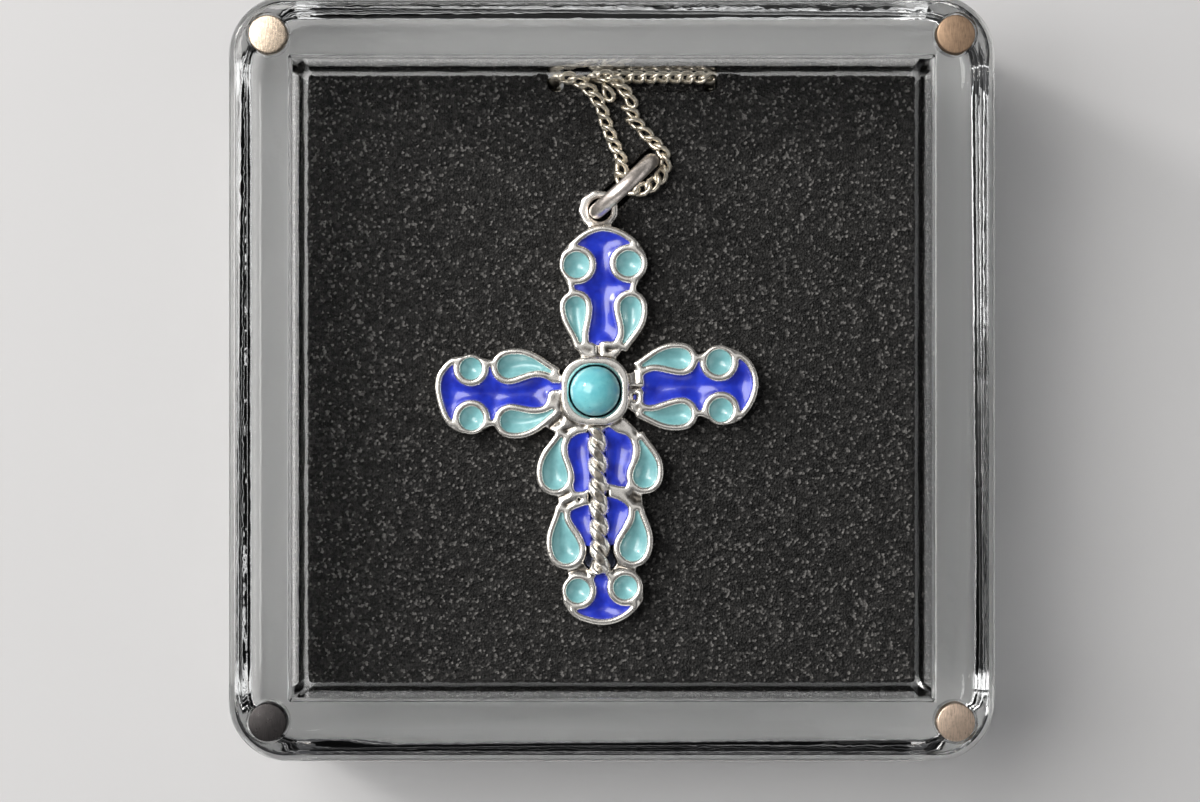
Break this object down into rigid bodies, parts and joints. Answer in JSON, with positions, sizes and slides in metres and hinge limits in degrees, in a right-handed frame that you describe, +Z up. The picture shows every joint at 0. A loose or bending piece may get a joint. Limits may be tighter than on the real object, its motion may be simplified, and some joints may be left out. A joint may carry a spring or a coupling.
{
  "type": "enamelled cross pendant necklace in a clear display box base",
  "caption": "Silver cross with blue and turquoise wire-cell enamel and a turquoise ball, on a fine curb chain, lying on foam in a clear square box base.",
  "frame": {"origin": "middle of the underside of the box base", "axes": "+Z up out of the box's mouth, +Y towards the top of the cross, +X to the right seen from above"},
  "size_m": [0.06, 0.06, 0.018],
  "materials": {
    "clear_acrylic": "clear polished acrylic, rounded edges",
    "black_foam": "matt open foam with fine glinting cells",
    "nickel_magnet": "nickel-plated, scuffed",
    "worn_silver": "worn silver, tarnished in the corners",
    "ring_silver": "polished silver with fine wear",
    "chain_silver": "bright silver, slightly warm",
    "turquoise_enamel": "opaque glossy enamel, slightly dished",
    "cobalt_enamel": "deep translucent glossy enamel over silver",
    "turquoise_stone": "polished turquoise ball"
  },
  "bodies": {
    "root": {"tray": "clear_acrylic", "foam_pad": "black_foam", "magnet_1": "nickel_magnet", "magnet_2": "nickel_magnet", "magnet_3": "nickel_magnet", "magnet_4": "nickel_magnet", "cross_frame": "worn_silver", "stone": "turquoise_stone", "jump_ring": "ring_silver", "chain": "chain_silver", "clasp": "chain_silver", "enamel_round_top_left": "turquoise_enamel", "enamel_round_top_right": "turquoise_enamel", "enamel_round_left_upper": "turquoise_enamel", "enamel_round_left_lower": "turquoise_enamel", "enamel_round_right_upper": "turquoise_enamel", "enamel_round_right_lower": "turquoise_enamel", "enamel_round_foot_left": "turquoise_enamel", "enamel_round_foot_right": "turquoise_enamel", "enamel_drop_top_left": "turquoise_enamel", "enamel_drop_top_right": "turquoise_enamel", "enamel_drop_left_upper": "turquoise_enamel", "enamel_drop_left_lower": "turquoise_enamel", "enamel_drop_right_upper": "turquoise_enamel", "enamel_drop_right_lower": "turquoise_enamel", "enamel_drop_shaft_upper_left": "turquoise_enamel", "enamel_drop_shaft_upper_right": "turquoise_enamel", "enamel_drop_shaft_lower_left": "turquoise_enamel", "enamel_drop_shaft_lower_right": "turquoise_enamel", "enamel_field_top": "cobalt_enamel", "enamel_field_left": "cobalt_enamel", "enamel_field_right": "cobalt_enamel", "enamel_field_foot": "cobalt_enamel", "enamel_field_shaft_upper_left": "cobalt_enamel", "enamel_field_shaft_upper_right": "cobalt_enamel", "enamel_field_shaft_lower_left": "cobalt_enamel", "enamel_field_shaft_lower_right": "cobalt_enamel"}
  },
  "joints": []
}
